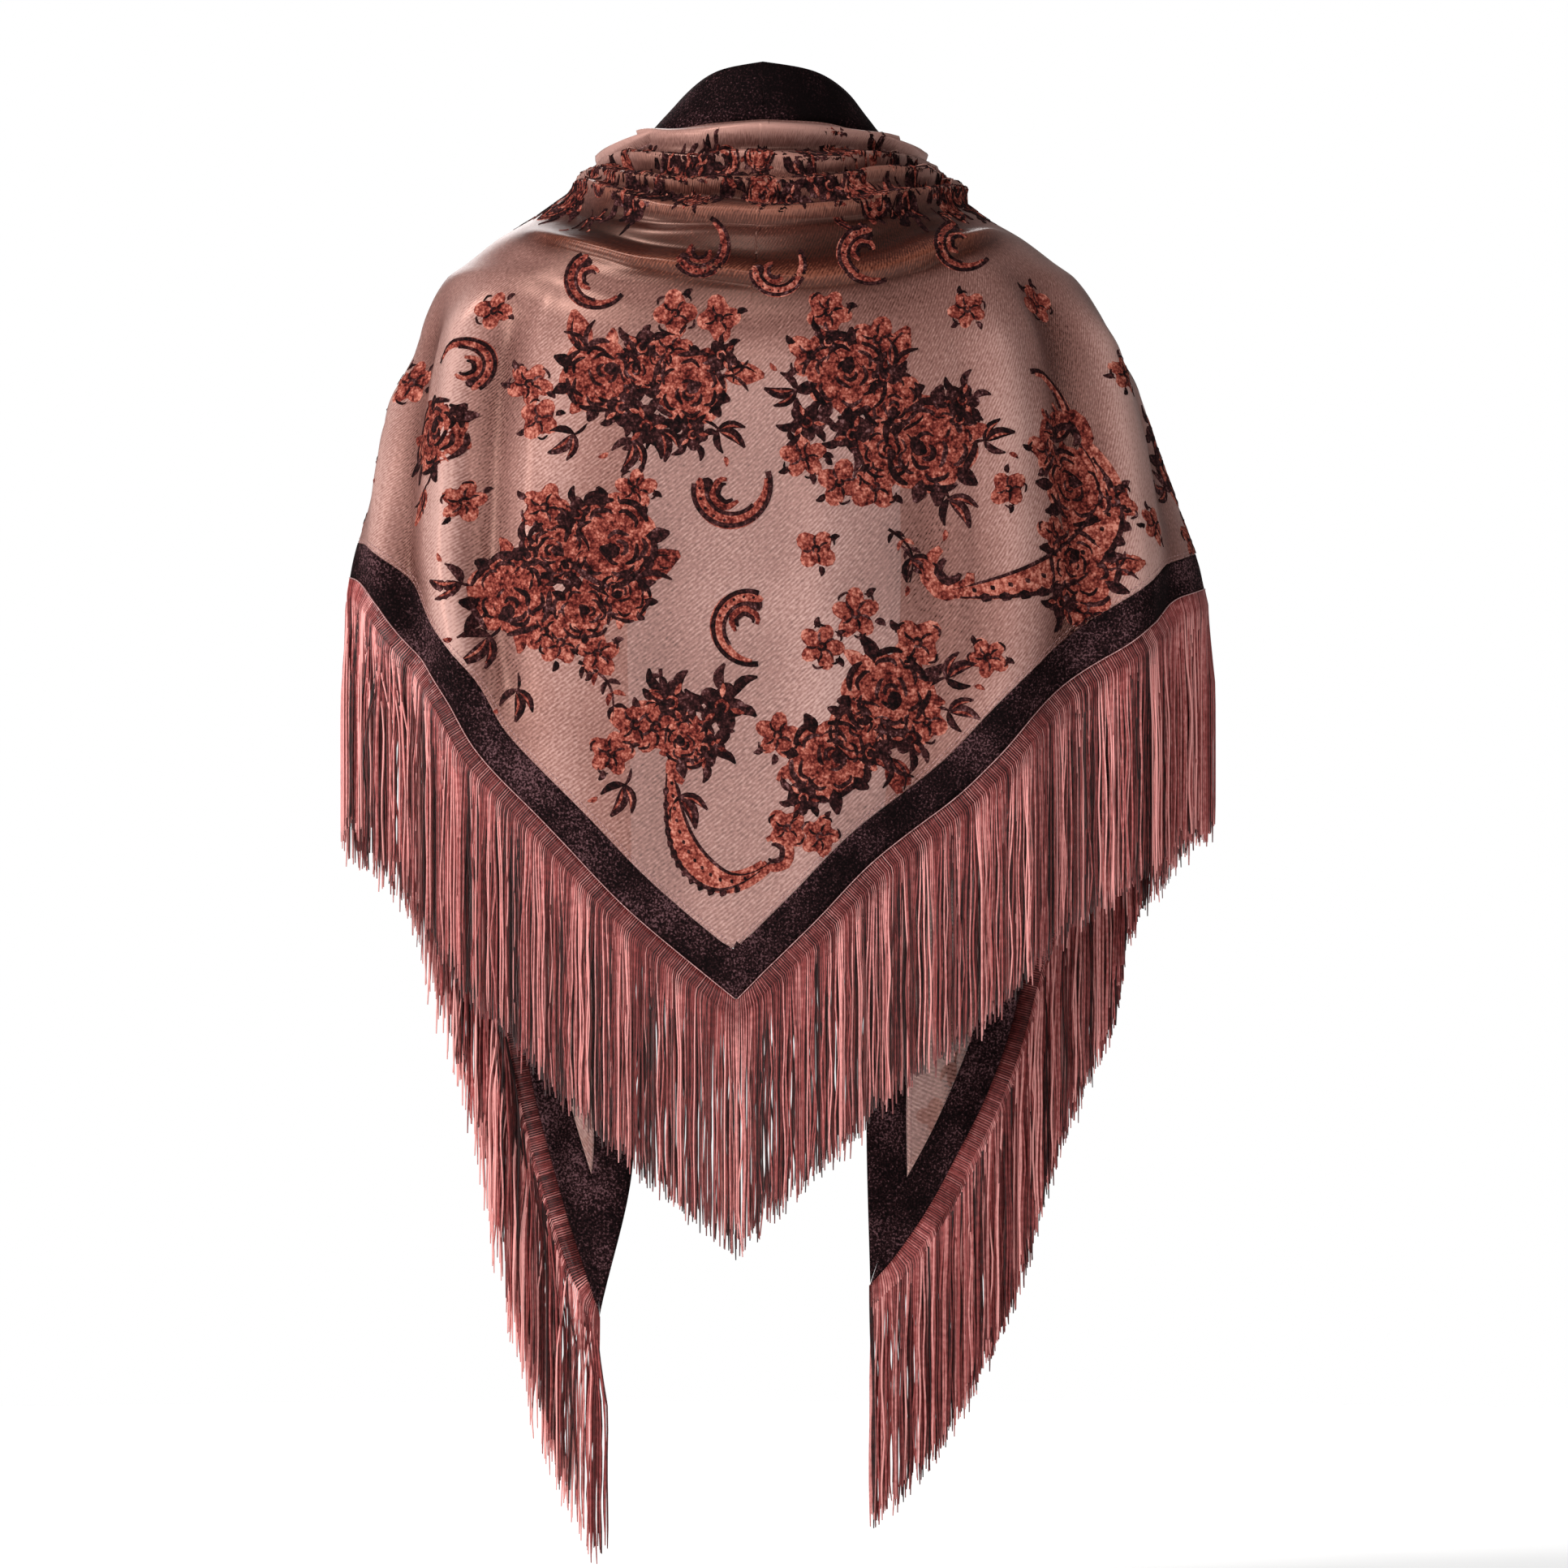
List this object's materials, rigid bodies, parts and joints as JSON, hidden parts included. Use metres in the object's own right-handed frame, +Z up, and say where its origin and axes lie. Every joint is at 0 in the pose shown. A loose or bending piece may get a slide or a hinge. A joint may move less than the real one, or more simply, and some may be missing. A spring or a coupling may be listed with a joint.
{
  "type": "triangle shawl",
  "caption": "Large triangle shawl draped round the shoulders, light patterned cloth with a dark border and a long fringe, open and hollow as worn.",
  "frame": {"origin": "between the wearer's shoulders at the base of the neck, where the shawl is held up", "axes": "+Z up, +Y towards the wearer's front, +X towards the wearer's right, so the back faces -Y"},
  "size_m": [0.6424, 0.2669, 1.1093],
  "materials": {
    "cloth": "half sheer satin ground with velvet-like motifs",
    "border": "dark speckled velvet pile",
    "fringe": "silky viscose strands below a ribbed knitted header"
  },
  "bodies": {
    "root": {"panel": "cloth", "nape_border": "border", "front_border_left": "border", "front_border_right": "border", "hem_border_left": "border", "hem_border_right": "border", "fringe_left_back": "fringe", "fringe_left_front": "fringe", "fringe_right_back": "fringe", "fringe_right_front": "fringe"}
  },
  "joints": []
}
